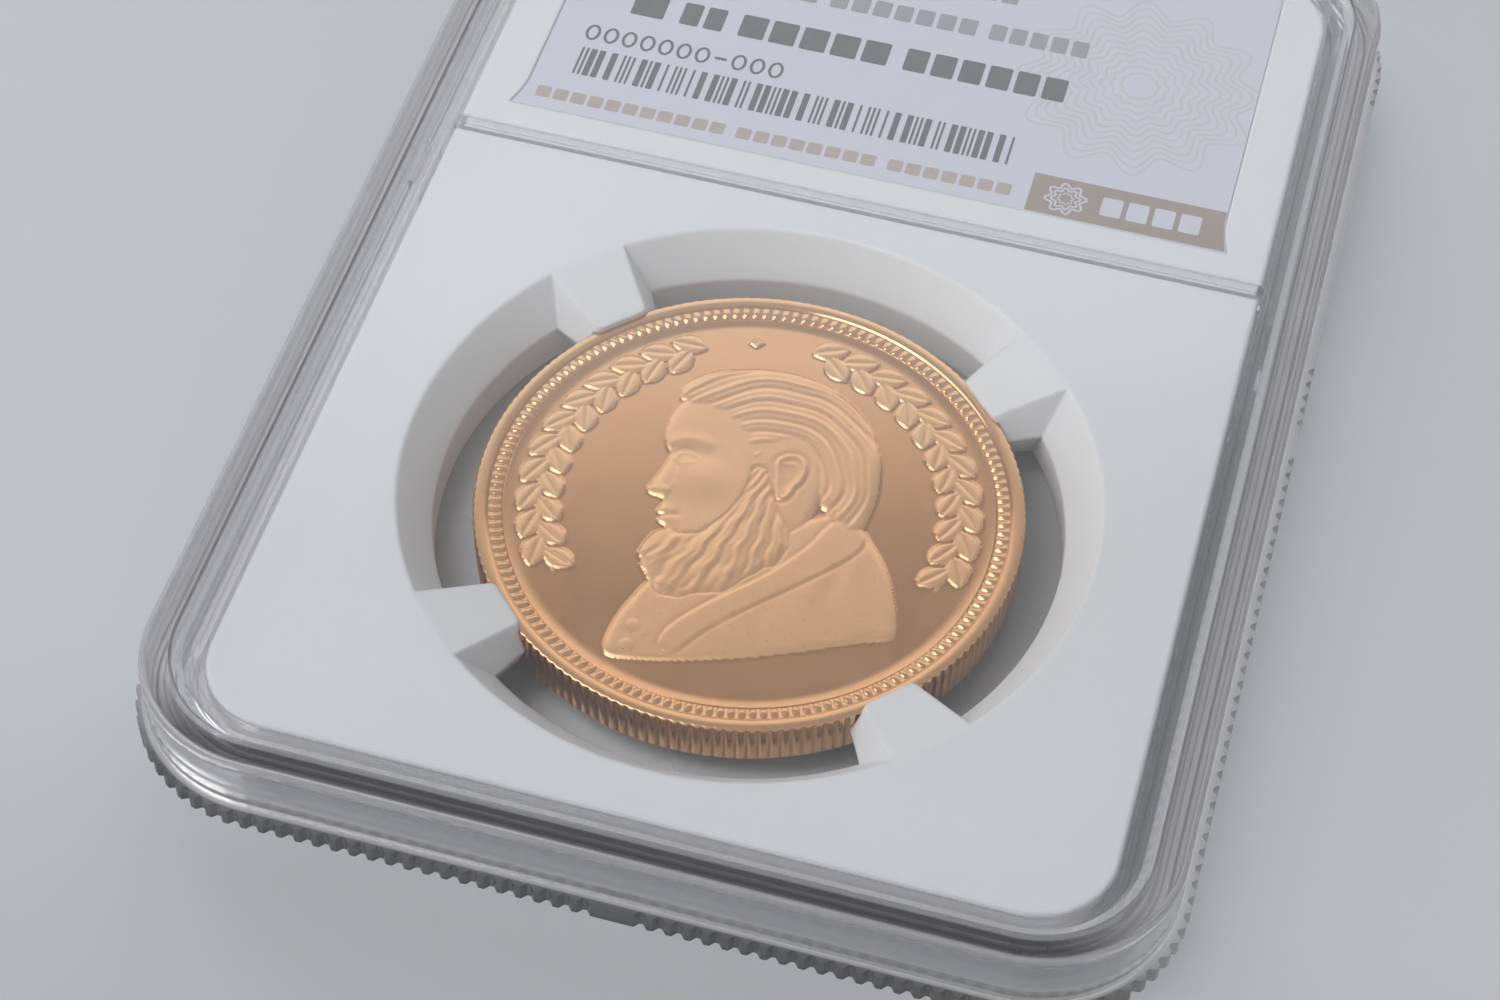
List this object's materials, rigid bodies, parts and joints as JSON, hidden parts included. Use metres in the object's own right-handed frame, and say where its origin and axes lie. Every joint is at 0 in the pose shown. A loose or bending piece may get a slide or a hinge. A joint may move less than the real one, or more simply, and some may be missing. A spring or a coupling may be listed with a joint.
{
  "type": "graded coin holder",
  "caption": "Flat sealed clear holder that grips one struck coin on the prongs of a white insert, with a printed label beside it.",
  "frame": {"origin": "under the middle of the holder's outline, on the plane that its back stacking rim rests on", "axes": "+X to the right across the front, +Y from the coin towards the label end, +Z out of the front window"},
  "size_m": [0.061, 0.085, 0.0091],
  "materials": {
    "clear_shell": "polished",
    "white_insert": "satin",
    "label_paper": "satin",
    "seal_foil": "polished",
    "coin_gold": "polished"
  },
  "bodies": {
    "root": {"front_shell": "clear_shell", "back_shell": "clear_shell", "coin_core": "white_insert", "label_frame": "white_insert", "front_label": "label_paper", "back_label": "label_paper", "foil_seal": "seal_foil", "coin": "coin_gold"}
  },
  "joints": []
}
